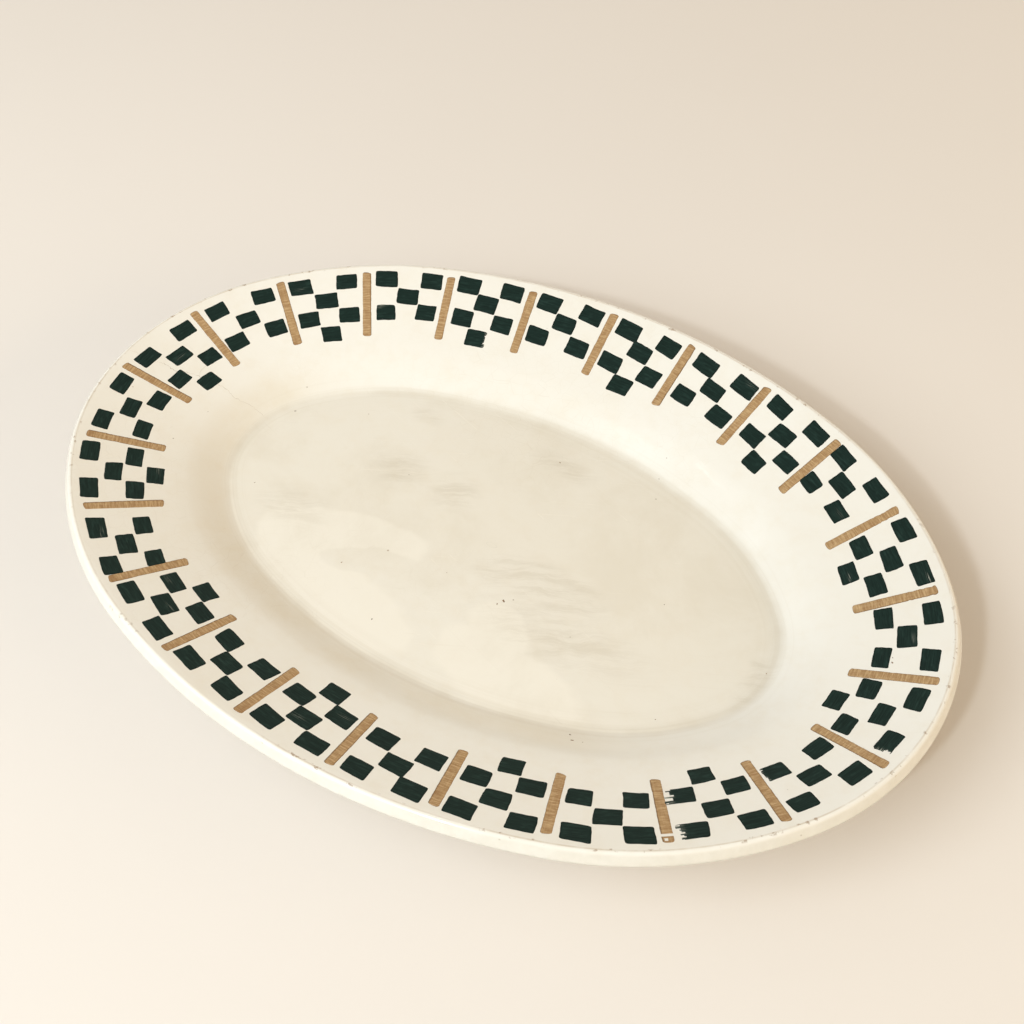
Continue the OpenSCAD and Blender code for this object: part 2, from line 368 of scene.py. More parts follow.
def glaze_material(name, top=True):
    g = Nodes(name)
    obj = g.obj
    ins = g.attr("inset")
    run = g.attr("run")

    # cream, drifting a little warmer and cooler over the dish
    drift = g.noise(obj, 7.0, 3.0, 0.5)
    cream = g.mix(g.between(drift, 0.35, 0.65), (0.786, 0.755, 0.686), (0.810, 0.788, 0.730))
    fine = g.noise(obj, 110.0, 5.0, 0.65)
    cream = g.mix(g.between(fine, 0.40, 0.80, 0.0, 0.30), cream, (0.74, 0.67, 0.55))

    wave = g.vmath("SCALE", g.noise_vec(obj, 22.0), scale=0.016)
    loose = g.vmath("ADD", obj, wave)
    if top:
        # the well is dulled by use: a warm grey-beige film, in clouds
        floor = g.between(ins, 53.5, 60.5)
        cream = g.mix(g.math("MULTIPLY", floor, 0.36), cream, (0.690, 0.628, 0.515))
        # painted shade: the floor is painted darker towards +X and +Y, on its right and far side
        side = g.between(g.math("ADD", g.node_xyz(obj, 0), g.node_xyz(obj, 1)), -0.03, 0.06)
        cream = g.mix(g.math("MULTIPLY", g.math("MULTIPLY", floor, side), 0.20), cream, (0.700, 0.665, 0.585))
        cloud = g.noise(g.vmath("ADD", obj, (0.31, 0.12, 0.0)), 24.0, 7.0, 0.66, 0.3)
        stain = g.math("MULTIPLY", g.between(cloud, 0.42, 0.68), g.between(ins, 50.0, 60.0))
        cream = g.mix(g.math("MULTIPLY", stain, 0.26), cream, (0.62, 0.555, 0.440))
        # painted reflection: lighter window-shaped patches on the near side of the floor, a window's reflection
        # painted into the glaze colour, with breaks cut into them
        loose = g.vmath("ADD", obj, g.vmath("SCALE", g.noise_vec(obj, 26.0), scale=0.008))
        loose = g.vmath("ADD", loose, g.vmath("SCALE", g.noise_vec(obj, 90.0), scale=0.0055))
        painted_reflection = patch(g, loose, -0.270, -0.140, 0.165, 0.066, 12, 0.10)
        for cx, cy, rx, ry, turn in ((-0.205, -0.300, 0.220, 0.080, -6), (0.215, -0.285, 0.185, 0.085, -7),
                                     (0.150, -0.205, 0.090, 0.060, -38), (-0.390, -0.225, 0.070, 0.110, 30)):
            painted_reflection = g.math("MAXIMUM", painted_reflection, patch(g, loose, cx, cy, rx, ry, turn, 0.12))
        reflection_break = patch(g, loose, -0.195, -0.178, 0.125, 0.040, 20, 0.10)
        reflection_break = g.math("MAXIMUM", reflection_break, patch(g, loose, 0.022, -0.275, 0.026, 0.120, 4, 0.40))
        painted_reflection = g.math("MULTIPLY", painted_reflection, g.math("SUBTRACT", 1.0, g.math("MULTIPLY", reflection_break, 0.85)))
        painted_reflection = g.math("MULTIPLY", painted_reflection, floor)
        painted_reflection = g.math("MULTIPLY", painted_reflection, g.between(cloud, 0.70, 0.50, 0.55, 1.0))
        cream = g.mix(g.math("MULTIPLY", painted_reflection, 0.62), cream, (0.815, 0.775, 0.690))
        # brown-grey film dragged out in streaks by a cloth
        smudge = patch(g, loose, 0.155, -0.045, 0.150, 0.060, 6, 0.35)
        for cx, cy, rx, ry, turn in ((0.265, -0.140, 0.160, 0.055, 4, ), (-0.30, 0.08, 0.060, 0.045, 20),
                                     (-0.155, 0.085, 0.045, 0.045, 30), (-0.345, 0.255, 0.030, 0.022, 0),
                                     (0.645, 0.022, 0.020, 0.016, 0), (0.655, -0.03, 0.022, 0.060, 0),
                                     (-0.44, -0.14, 0.070, 0.045, 10), (0.02, 0.29, 0.07, 0.03, 0)):
            smudge = g.math("MAXIMUM", smudge, patch(g, loose, cx, cy, rx, ry, turn, 0.75))
        drawn = g.stretch(loose, (1, 1, 1), -27)
        rag = g.noise(g.stretch(drawn, (34, 260, 1)), 1.0, 6.0, 0.78)
        smudge = g.math("MULTIPLY", smudge, g.between(rag, 0.40, 0.62, 0.15, 1.0))
        cream = g.mix(g.math("MULTIPLY", smudge, 0.32), cream, (0.50, 0.44, 0.34))
        # fine scratches left by knives, in two directions
        cut = None
        for turn, move in ((-27, (0, 0, 0)), (18, (0.4, 0.2, 0))):
            line = g.noise(g.stretch(g.stretch(obj, (1, 1, 1), turn), (16, 900, 1), 0, move), 1.0, 2.0, 0.5)
            line = g.between(line, 0.655, 0.70)
            cut = line if cut is None else g.math("MAXIMUM", cut, line)
        cut = g.math("MULTIPLY", cut, g.math("MULTIPLY", floor, g.between(g.noise(obj, 17.0, 2.0), 0.48, 0.64)))
        cream = g.mix(g.math("MULTIPLY", cut, 0.16), cream, (0.40, 0.33, 0.24))
        # rings left by the maker's template, strongest where the wall lands
        flat = g.node("ShaderNodeCombineXYZ")
        g.put(flat.inputs[0], g.math("MULTIPLY", ins, 0.55))
        g.put(flat.inputs[1], g.math("MULTIPLY", g.node_xyz(obj, 0), 5.0))
        g.put(flat.inputs[2], g.math("MULTIPLY", g.node_xyz(obj, 1), 5.0))
        rings = g.noise(flat.outputs[0], 1.0, 4.0, 0.62)
        band = g.math("MULTIPLY", g.between(ins, 48.0, 56.0), g.between(ins, 68.0, 59.0))
        cream = g.mix(g.math("MULTIPLY", g.math("MULTIPLY", band, g.between(rings, 0.46, 0.60)), 0.14),
                      cream, (0.60, 0.53, 0.41))
        # painted highlight: a thin lighter line along the near edge of the floor, where the wall meets it
        painted_crease_highlight = g.math("MULTIPLY", g.math("MULTIPLY", g.between(ins, 56.6, 57.3), g.between(ins, 58.4, 57.7)),
                      g.between(g.node_xyz(obj, 1), -0.01, -0.04))
        cream = g.mix(g.math("MULTIPLY", painted_crease_highlight, 0.45), cream, (0.860, 0.825, 0.740))
        # painted shade: the near wall of the well is painted darker and browner, in clouds; the far wall gets none
        wall = g.math("MULTIPLY", g.between(ins, 40.0, 49.0), g.between(ins, 57.5, 53.0))
        wall = g.math("MULTIPLY", wall, g.between(g.math("ADD", g.node_xyz(obj, 1), g.math("MULTIPLY", g.node_xyz(obj, 0), 0.45)), 0.0, -0.04))
        cream = g.mix(g.math("MULTIPLY", wall, g.between(cloud, 0.38, 0.60, 0.12, 0.30)), cream, (0.680, 0.590, 0.430))
        # painted shade, in patches, where the wall meets the floor
        crease = g.math("MULTIPLY", g.between(ins, 54.0, 57.0), g.between(ins, 60.5, 57.4))
        painted_crease_shade = g.math("MULTIPLY", crease, g.between(g.noise(obj, 26.0, 5.0, 0.6), 0.34, 0.66))
        cream = g.mix(g.math("MULTIPLY", painted_crease_shade, 0.26), cream, (0.52, 0.45, 0.34))

    # crazing: a net of hairlines, almost closed, plainer in some places
    v = g.cells(g.vmath("ADD", obj, g.vmath("SCALE", g.noise_vec(obj, 60.0), scale=0.004)), 210.0, "DISTANCE_TO_EDGE")
    hair = g.between(v.outputs["Distance"], 0.0, 0.020, 1.0, 0.0)
    net = g.between(g.noise(g.vmath("ADD", obj, (0.9, 0.0, 0.4)), 11.0, 3.0), 0.48, 0.66, 0.0, 1.0)
    cream = g.mix(g.math("MULTIPLY", g.math("MULTIPLY", hair, net), 0.10), cream, (0.40, 0.31, 0.20))

    # pinholes and iron grains, a few of each
    for scale, size, rare, col, move in ((95.0, 0.050, 0.93, (0.30, 0.20, 0.11), (0, 0, 0)),
                                         (190.0, 0.070, 0.95, (0.22, 0.15, 0.09), (0.3, 0.1, 0.2))):
        c = g.cells(g.vmath("ADD", obj, move), scale)
        pick = g.math("GREATER_THAN", g.node_sep(c.outputs["Color"], 0), rare)
        dot = g.between(c.outputs["Distance"], size * 0.5, size, 1.0, 0.0)
        cream = g.mix(g.math("MULTIPLY", g.math("MULTIPLY", dot, pick), 0.6), cream, col)

    rough = g.between(g.noise(obj, 60.0, 4.0, 0.6), 0.3, 0.7, 0.09, 0.17)
    if top:
        rough = g.math("ADD", rough, g.math("MULTIPLY", g.math("SUBTRACT", floor, g.math("MULTIPLY", painted_reflection, 0.8)), 0.10))
        # the crest of the rim is rubbed: a thin brown line, with grains of bare body
        rub = g.noise(obj, 150.0, 5.0, 0.65)
        long = g.noise(obj, 13.0, 2.0)
        line = g.math("MULTIPLY", g.between(run, -0.75, -0.30), g.between(run, 0.15, -0.20))
        line = g.math("MULTIPLY", line, g.between(rub, 0.30, 0.62, 0.25, 1.0))
        line = g.math("MULTIPLY", line, g.between(long, 0.34, 0.60, 0.12, 1.0))
        cream = g.mix(g.math("MULTIPLY", line, 0.50), cream, (0.44, 0.33, 0.21))
        near = g.math("MULTIPLY", g.between(run, -1.3, -0.4), g.between(run, 1.0, 0.1))
        grain = g.math("MULTIPLY", near, g.between(g.noise(obj, 420.0, 3.0, 0.6), 0.60, 0.66))
        grain = g.math("MULTIPLY", grain, g.between(long, 0.46, 0.56))
        cream = g.mix(g.math("MULTIPLY", grain, 0.70), cream, (0.30, 0.20, 0.12))
        rough = g.math("ADD", rough, g.math("MULTIPLY", g.math("MAXIMUM", line, grain), 0.30))
        # painted shade: the outer roll and side of the lip are painted darker, in patches
        painted_lip_shade = g.math("MULTIPLY", g.between(run, 0.6, 2.2), g.between(run, 14.0, 9.0))
        cream = g.mix(g.math("MULTIPLY", painted_lip_shade, g.between(rub, 0.30, 0.70, 0.30, 0.62)), cream, (0.650, 0.620, 0.540))
        rough = g.math("ADD", rough, g.math("MULTIPLY", cut, 0.15))
    # where the glaze ends above the foot it thins and browns
    thin = g.attr("thin")
    cream = g.mix(g.math("MULTIPLY", thin, g.between(fine, 0.3, 0.6, 0.35, 0.9)), cream, (0.50, 0.37, 0.24))

    waves = g.noise(obj, 150.0, 2.0, 0.5)
    nrm = g.bump(waves, 0.08, 0.00022)
    if top:
        nrm = g.bump(g.math("MULTIPLY", rings, band), 0.35, 0.00010, nrm)
    nrm = g.bump(hair, 0.10, 0.00003, nrm)
    g.set(Base_Color=cream, Roughness=rough, Normal=nrm)
    g.sh.inputs["IOR"].default_value = 1.5
    g.sh.inputs["Coat Weight"].default_value = 0.15
    g.sh.inputs["Coat Roughness"].default_value = 0.05
    return g.mat


def _noise_vec(self, vec, scale):
    n = self.node("ShaderNodeTexNoise")
    self.put(n.inputs["Vector"], vec)
    n.inputs["Scale"].default_value = scale
    n.inputs["Detail"].default_value = 2.0
    return self.vmath("SUBTRACT", n.outputs["Color"], (0.5, 0.5, 0.5))


def _node_sep(self, col, i):
    n = self.node("ShaderNodeSeparateColor")
    self.put(n.inputs[0], col)
    return n.outputs[i]


Nodes.noise_vec, Nodes.node_sep = _noise_vec, _node_sep


def clay_material():
    g = Nodes("bare_clay")
    a = g.noise(g.obj, 60.0, 6.0, 0.65)
    b = g.noise(g.obj, 420.0, 5.0, 0.7)
    col = g.mix(g.between(a, 0.3, 0.7), (0.60, 0.44, 0.29), (0.70, 0.56, 0.40))
    col = g.mix(g.between(b, 0.45, 0.75, 0.0, 0.6), col, (0.36, 0.25, 0.16))
    grit = g.cells(g.obj, 900.0)
    spot = g.math("MULTIPLY", g.between(grit.outputs["Distance"], 0.10, 0.22, 1.0, 0.0),
                  g.math("GREATER_THAN", g.node_sep(grit.outputs["Color"], 1), 0.85))
    col = g.mix(spot, col, (0.16, 0.10, 0.07))
    # the standing face is dirtied by the tables it has stood on
    low = g.between(g.node_xyz(g.obj, 2), 0.0012, 0.0, 0.0, 0.45)
    col = g.mix(g.math("MULTIPLY", low, g.between(a, 0.35, 0.6)), col, (0.27, 0.21, 0.16))
    h = g.math("ADD", g.math("MULTIPLY", a, 0.4), b)
    g.set(Base_Color=col, Roughness=g.between(b, 0.3, 0.7, 0.75, 0.92), Normal=g.bump(h, 0.5, 0.0002))
    return g.mat


def _node_xyz(self, vec, i):
    n = self.node("ShaderNodeSeparateXYZ")
    self.put(n.inputs[0], vec)
    return n.outputs[i]


Nodes.node_xyz = _node_xyz


def green_material():
    g = Nodes("green_brush_paint")
    uv = g.node("ShaderNodeUVMap", uv_map="Stroke").outputs[0]
    tone = g.attr("tone")
    rim = g.attr("edge")
    hairs = g.noise(g.stretch(uv, (0.10, 3.0, 1)), 1.0, 4.0, 0.6)
    drag = g.noise(g.stretch(uv, (0.20, 0.8, 1), 0, (4, 9, 0)), 1.0, 3.0, 0.6)
    col = g.mix(g.between(hairs, 0.34, 0.72), (0.0050, 0.0150, 0.0125), (0.0100, 0.0270, 0.0225))
    col = g.mix(g.between(drag, 0.48, 0.78, 0.0, 0.70), col, (0.0150, 0.0370, 0.0310))
    col = g.mix(g.between(tone, 0.0, 1.0, 0.0, 0.45), col, (0.0230, 0.0520, 0.0440))
    col = g.mix(g.math("MULTIPLY", rim, 0.6), col, (0.0035, 0.0095, 0.0080))
    dry = g.attr("dry")
    col = g.mix(g.math("MULTIPLY", dry, g.between(hairs, 0.50, 0.60)), col, (0.42, 0.43, 0.37))
    g.set(Base_Color=col, Roughness=g.between(hairs, 0.3, 0.7, 0.14, 0.24),
          Normal=g.bump(hairs, 0.10, 0.00005))
    g.sh.inputs["Specular IOR Level"].default_value = 0.16
    return g.mat


def ochre_material():
    g = Nodes("ochre_brush_paint")
    uv = g.node("ShaderNodeUVMap", uv_map="Stroke").outputs[0]
    rim = g.attr("edge")
    tone = g.attr("tone")
    hairs = g.noise(g.stretch(uv, (3.6, 0.09, 1)), 1.0, 3.0, 0.6)
    ribs = g.noise(g.stretch(uv, (0.20, 1.5, 1), 5, (3, 1, 0)), 1.0, 4.0, 0.75)
    col = g.mix(g.between(ribs, 0.38, 0.66), (0.320, 0.188, 0.085), (0.500, 0.340, 0.175))
    col = g.mix(g.between(hairs, 0.48, 0.75, 0.0, 0.40), col, (0.64, 0.46, 0.26))
    col = g.mix(g.between(tone, 0.0, 1.0, 0.0, 0.65), col, (0.270, 0.145, 0.060))
    teeth = g.noise(g.stretch(uv, (0.35, 2.4, 1), 0, (9, 4, 0)), 1.0, 3.0, 0.7)
    dark = g.between(g.math("ADD", rim, g.math("MULTIPLY", teeth, 0.75)), 0.86, 1.06)
    col = g.mix(g.math("MULTIPLY", dark, 0.72), col, (0.130, 0.070, 0.030))
    g.set(Base_Color=col, Roughness=g.between(ribs, 0.3, 0.7, 0.18, 0.30),
          Normal=g.bump(ribs, 0.12, 0.00006))
    g.sh.inputs["Specular IOR Level"].default_value = 0.35
    return g.mat


def speck_material():
    g = Nodes("iron_speck")
    n = g.noise(g.obj, 1200.0, 3.0, 0.6)
    g.set(Base_Color=g.mix(g.between(n, 0.35, 0.65), (0.115, 0.065, 0.035), (0.34, 0.23, 0.14)),
          Roughness=g.between(n, 0.3, 0.7, 0.25, 0.45))
    return g.mat


def crack_material():
    g = Nodes("hairline_dirt")
    n = g.noise(g.obj, 260.0, 4.0, 0.6)
    g.set(Base_Color=g.mix(g.between(n, 0.40, 0.62), (0.34, 0.27, 0.20), (0.66, 0.58, 0.47)),
          Roughness=g.between(n, 0.3, 0.7, 0.35, 0.55))
    return g.mat


def chip_material():
    g = Nodes("chipped_edge")
    n = g.noise(g.obj, 700.0, 5.0, 0.7)
    g.set(Base_Color=g.mix(g.between(n, 0.35, 0.65), (0.44, 0.40, 0.33), (0.80, 0.74, 0.63)),
          Roughness=g.between(n, 0.3, 0.7, 0.7, 0.9), Normal=g.bump(n, 0.6, 0.0002))
    return g.mat


M_GLAZE = glaze_material("cream_glaze_face")
M_BASE = glaze_material("cream_glaze_base", top=False)
M_CLAY = clay_material()
M_GREEN = green_material()
M_OCHRE = ochre_material()
M_SPECK = speck_material()
M_CRACK = crack_material()
M_CHIP = chip_material()


# --------------------------------------------------------- the glazed shell --
def tube_faces(rows, n, first=0):
    """Faces of a section that closes on itself, swept round."""
    i = np.arange(rows)[:, None]
    a, b = i * n, (i + 1) % rows * n
    j = np.arange(n)[None]
    k = (j + 1) % n
    return np.stack(np.broadcast_arrays(a + j, a + k, b + k, b + j), -1).reshape(-1, 4) + first


def facing_out(ob):
    bm = bmesh.new()
    bm.from_mesh(ob.data)
    bmesh.ops.recalc_face_normals(bm, faces=bm.faces)
    bm.to_mesh(ob.data)
    bm.free()
    return ob


def shell_of(name, outer, inner, n, flat_end, mat, ripple_at):
    """A thin glaze: an outer and an inner section swept round, joined along the
    line where the glaze stops, and closed over the middle of the dish."""
    a, b = sweep(outer, n), sweep(inner, n)
    if flat_end == 0:
        ra, ma = disc_rings(a[0], 14)
        rb, mb = disc_rings(b[0], 5)
        grid = np.concatenate([ra[::-1], a, b[::-1], rb])
        first = len(ra)
    else:
        ra, ma = disc_rings(a[-1], 14)
        rb, mb = disc_rings(b[-1], 5)
        grid = np.concatenate([ra[::-1], a[::-1], b, rb])
        first = len(ra)
        outer = outer[::-1]
    v = np.concatenate([grid.reshape(-1, 3), [ma], [mb]])
    rows = len(grid)
    s, _, _ = inset(v[:, 0], v[:, 1])
    s = s / (MM * K)
    s[first * n:(first + len(outer)) * n] = np.repeat(outer[:, 0], n)
    run, thin = np.full(len(v), -80.0 if flat_end == 0 else 50.0), np.zeros(len(v))
    if flat_end == 0:
        run[first * n:(first + len(outer)) * n] = np.repeat(RUN, n)
        run[(first + len(outer)) * n:] = 60.0
        low = outer[:, 1] * (np.arange(len(outer)) > edge) + 99 * (np.arange(len(outer)) <= edge)
    else:
        low = outer[:, 1]
    thin[first * n:(first + len(outer)) * n] = np.repeat(np.clip(1 - (low - LINE) / 1.3, 0, 1), n)
    out = np.zeros(len(v), bool)
    out[:(first + len(outer)) * n] = True
    out[-2] = True
    up = out & ((run < 3) if flat_end == 0 else (s > 62))
    v[up, 2] += ripple(v[up, 0] + ripple_at, v[up, 1]) * (1 if flat_end == 0 else -0.6)
    v = warp(v)
    f = grid_faces(rows, n)
    cap = [((j + 1) % n, j, len(v) - 2) for j in range(n)]
    last = (rows - 1) * n
    cap += [(last + j, last + (j + 1) % n, len(v) - 1) for j in range(n)]
    ob = make(name, v, [*map(tuple, f), *cap], {"inset": s, "run": run, "thin": thin})
    ob.data.materials.append(mat)
    return facing_out(ob)


def glaze_shell():
    return shell_of("glaze_shell", UPPER, sink(UPPER, 0.26)[::4], 600, 0, M_GLAZE, 0.0)


def base_skin():
    return shell_of("base_glaze_skin", LOWER, sink(LOWER, 0.26)[::-3][::-1], 600, 1, M_BASE, 0.7)


def clay_core():
    n = 480
    prof = np.concatenate([sink(UPPER, 0.27)[:-1], FOOT, sink(LOWER, 0.27)[1:]])
    p = sweep(prof, n)
    a, mid_a = disc_rings(p[0], 6)
    b, mid_b = disc_rings(p[-1], 6)
    allp = np.concatenate([a[::-1], p, b])
    v = np.concatenate([allp.reshape(-1, 3), [mid_a], [mid_b]])
    v = warp(v)
    rows = len(allp)
    f = grid_faces(rows, n)
    top = [(j, len(v) - 2, (j + 1) % n) for j in range(n)]
    low = [((rows - 1) * n + j, (rows - 1) * n + (j + 1) % n, len(v) - 1) for j in range(n)]
    ob = make("clay_core", v, [*map(tuple, f), *top, *low])
    ob.data.materials.append(M_CLAY)
    return facing_out(ob)


shell, skin, core = glaze_shell(), base_skin(), clay_core()
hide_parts("glaze_coat")
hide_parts("base_glaze")
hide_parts("clay_body")


# --------------------------------------------------------------- the strokes --
def islands(node):
    """Each separate mark of a CAD node: middle, and the spread of its plan."""
    bm = bmesh.new()
    bm.from_mesh(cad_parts[node].data)
    bmesh.ops.remove_doubles(bm, verts=bm.verts, dist=2e-6)
    bm.verts.ensure_lookup_table()
    seen, out = set(), []
    for v in bm.verts:
        if v.index in seen:
            continue
        group, todo = [], [v]
        seen.add(v.index)
        while todo:
            a = todo.pop()
            group.append(a)
            for e in a.link_edges:
                b = e.other_vert(a)
                if b.index not in seen:
                    seen.add(b.index)
                    todo.append(b)
        faces = {f for a in group for f in a.link_faces if f.normal.z > 0.5}
        area, first, second = 0.0, np.zeros(2), np.zeros((2, 2))
        for f in faces:
            q = [np.array(w.co[:2]) for w in f.verts]
            for i in range(1, len(q) - 1):
                t = np.array([q[0], q[i], q[i + 1]])
                e1, e2 = t[1] - t[0], t[2] - t[0]
                w = abs(e1[0] * e2[1] - e1[1] * e2[0]) / 2
                area += w
                m = t.mean(0)
                first += w * m
                second += w * (sum(np.outer(x, x) for x in t) / 12 + np.outer(m, m) * 9 / 12)
        if area < 1e-9:
            continue
        m = first / area
        cov = second / area - np.outer(m, m)
        out.append((m, cov, area))
    bm.free()
    # round the rim, so that the order never depends on the mesh
    out.sort(key=lambda o: (round(math.atan2(o[0][1], o[0][0]), 3), round(float(np.hypot(*o[0])), 4)))
    return out


def local(mark):
    """Middle, unit vectors along and across the rim, and the mark's spread in them."""
    m, cov, area = mark
    s, nx, ny = inset(m[0], m[1])
    across = np.array([-float(nx), -float(ny)])      # inward
    along = np.array([-float(ny), float(nx)])        # anticlockwise
    b = np.stack([along, across], 1)
    return m, along, across, b.T @ cov @ b, area


def on_face(x, y, lift):
    """Points on the glazed face at plan positions, raised by lift."""
    s, nx, ny = inset(x, y)
    z = top_z(s) + ripple(x, y)
    k = 1 / math.hypot(1, SLOPE)
    return np.stack([x - nx * lift * SLOPE * -k, y - ny * lift * SLOPE * -k, z + lift * k], -1)


def rand(*key):
    """A repeatable number from -1 to 1."""
    x = math.sin(sum(k * c for k, c in zip(key, (127.1, 311.7, 74.7, 53.3))) + 0.5) * 43758.5453
    return 2 * (x - math.floor(x)) - 1


def wave(t, seed, terms=4, falloff=0.7):
    """Smooth periodic unevenness of an outline, t from 0 to 1."""
    out = np.zeros_like(t)
    for i in range(1, terms + 1):
        out += falloff ** i * np.sin(2 * np.pi * (i * t + rand(seed, i, 7))) * (0.6 + 0.4 * rand(seed, i, 11))
    return out


def sheet(v, low, keep, first):
    """Faces of a thin closed sheet over the kept cells of a grid: upper points
    v, lower points low, and a wall along every open side."""
    nu, nv = keep.shape[0] + 1, keep.shape[1] + 1
    idx = np.arange(nu * nv).reshape(nu, nv) + first
    dn = nu * nv
    a, b, c, d = idx[:-1, :-1], idx[1:, :-1], idx[1:, 1:], idx[:-1, 1:]
    top = np.stack([a, b, c, d], -1)[keep]
    bot = np.stack([d, c, b, a], -1)[keep] + dn
    pad = np.zeros((nu + 1, nv + 1), bool)
    pad[1:-1, 1:-1] = keep
    walls = []
    for (p, q), nb in (((a, b), pad[1:-1, :-2]), ((b, c), pad[2:, 1:-1]),
                       ((c, d), pad[1:-1, 2:]), ((d, a), pad[:-2, 1:-1])):
        m = keep & ~nb
        walls.append(np.stack([q[m], p[m], p[m] + dn, q[m] + dn], -1))
    return np.concatenate([top, bot, *walls]), np.concatenate([v, low])


def dab(mark, seed, nu, nv, lift, grow=0.0):
    """One flat-brush dab: the points of its upper and lower face."""
    m, along, across, c, area = local(mark)
    l = math.sqrt(12 * c[0, 0]) * 1.012
    shear = c[0, 1] / c[0, 0]
    w = area / l * 1.0
    lean = 0.06 * rand(seed, 31)
    p, q = np.meshgrid(np.linspace(-1, 1, nu), np.linspace(-1, 1, nv), indexing="ij")
    # finer cells near the border
    p, q = np.sign(p) * (1 - (1 - abs(p)) ** 1.35), np.sign(q) * (1 - (1 - abs(q)) ** 1.35)
    big = np.maximum(abs(p), abs(q))
    n = 13.0
    f = big / ((abs(p) ** n + abs(q) ** n) ** (1 / n) + 1e-9)
    x, y = p * f * l / 2, q * f * w / 2
    # each side bows and wavers a little, and each corner is out of true
    fade = np.sign(p) * abs(p) ** 6, np.sign(q) * abs(q) ** 6
    x = x + fade[0] * MM * (0.07 * np.where(p > 0, wave((q + 1) / 2 * 0.8, seed + 0.3, 4, 0.8),
                                            wave((q + 1) / 2 * 0.8, seed - 0.3, 4, 0.8))
                            + 0.16 * (1 - q ** 2) * np.where(p > 0, rand(seed, 51), rand(seed, 52)))
    y = y + fade[1] * MM * (0.06 * np.where(q > 0, wave((p + 1) / 2 * 0.8, seed + 0.6, 4, 0.8),
                                            wave((p + 1) / 2 * 0.8, seed - 0.6, 4, 0.8))
                            + 0.16 * (1 - p ** 2) * np.where(q > 0, rand(seed, 53), rand(seed, 54)))
    for i, (sx, sy) in enumerate(((1, 1), (-1, 1), (-1, -1), (1, -1))):
        k = ((1 + sx * p) / 2) ** 2 * ((1 + sy * q) / 2) ** 2
        x += k * 0.28 * MM * rand(seed, i, 41)
        y += k * 0.24 * MM * rand(seed, i, 43)
    x = x + grow * (1 - p) / 2
    y = y + shear * x
    x = x + lean * y
    gx = m[0] + x * along[0] + y * across[0]
    gy = m[1] + x * along[1] + y * across[1]
    edgeness = np.clip((big - 0.86) / 0.14, 0, 1)
    hgt = lift * (1 - 0.72 * (np.clip((big - 0.93) / 0.07, 0, 1)) ** 2)
    v = on_face(gx.ravel(), gy.ravel(), hgt.ravel())
    low = on_face(gx.ravel(), gy.ravel(), np.full(gx.size, -0.03 * MM))
    tone = 0.5 + 0.5 * np.array([noise.fractal(Vector((a * 0.22 + seed * 3.7, b * 1.3, seed)), 1.0, 2.0, 3)
                                 for a, b in zip((x / MM).ravel(), (y / MM).ravel())])
    tone = np.clip((tone - 0.55) * 2.4, 0, 1) * (1 - edgeness.ravel() * 0.6)
    uv = np.stack([x.ravel() / MM + 23.0 * seed, y.ravel() / MM + 17.0 * seed], -1)
    return v, low, edgeness.ravel(), tone, uv, p, q


def dry_cells(seed, nu, nv, end, depth):
    """Cells left bare where the brush ran dry: ragged teeth from one end."""
    i, j = np.meshgrid(np.arange(nu - 1), np.arange(nv - 1), indexing="ij")
    t = i / (nu - 2) if end < 0 else 1 - i / (nu - 2)
    reach = np.array([depth * (0.25 + 1.5 * abs(rand(b, seed, 2))) * (rand(b // 2, seed, 9) > -0.35)
                      for b in range(nv - 1)])
    reach[0 if rand(seed, 1) > 0 else -1] = 0
    return t < reach[j]


# the painted ring as a measure: places along it as a part of the way round,
# anticlockwise from the end of the long axis at +X
PAINT_MID = 18 * MM * K


def ring_place(part, s):
    """Plan position a part of the way round the painted ring, inset s mm."""
    a = arcs()
    lens = [(r - PAINT_MID) * (t1 - t0) for _, r, t0, t1 in a]
    u = (part * sum(lens) + lens[0] / 2) % sum(lens)
    for (c, r, t0, t1), n in zip(a, lens):
        if u <= n:
            break
        u -= n
    t = t0 + u / (r - PAINT_MID)
    return np.array(c) + (r - s * MM * K) * np.array([math.cos(t), math.sin(t)])


def nearest(marks_, part, s):
    x = ring_place(part, s)
    return int(np.argmin([np.linalg.norm(o[0] - x) for o in marks_]))


def gather(name, nodes, parts, mat):
    """Joins many small closed sheets into one piece."""
    F, V, A, UV, n = [], [], {}, [], 0
    for v, low, keep, attrs, uv in parts:
        f, both = sheet(v, low, keep, n)
        F.append(f)
        V.append(both)
        for k, x in attrs.items():
            A.setdefault(k, []).append(np.concatenate([x, x]))
        UV.append(np.concatenate([uv, uv]))
        n += len(both)
    ob = make(name, warp(np.concatenate(V)), np.concatenate(F),
              {k: np.concatenate(x) for k, x in A.items()}, np.concatenate(UV))
    bm = bmesh.new()
    bm.from_mesh(ob.data)
    bmesh.ops.delete(bm, geom=[w for w in bm.verts if not w.link_faces], context="VERTS")
    bm.to_mesh(ob.data)
    bm.free()
    ob.data.materials.append(mat)
    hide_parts(nodes)
    return ob


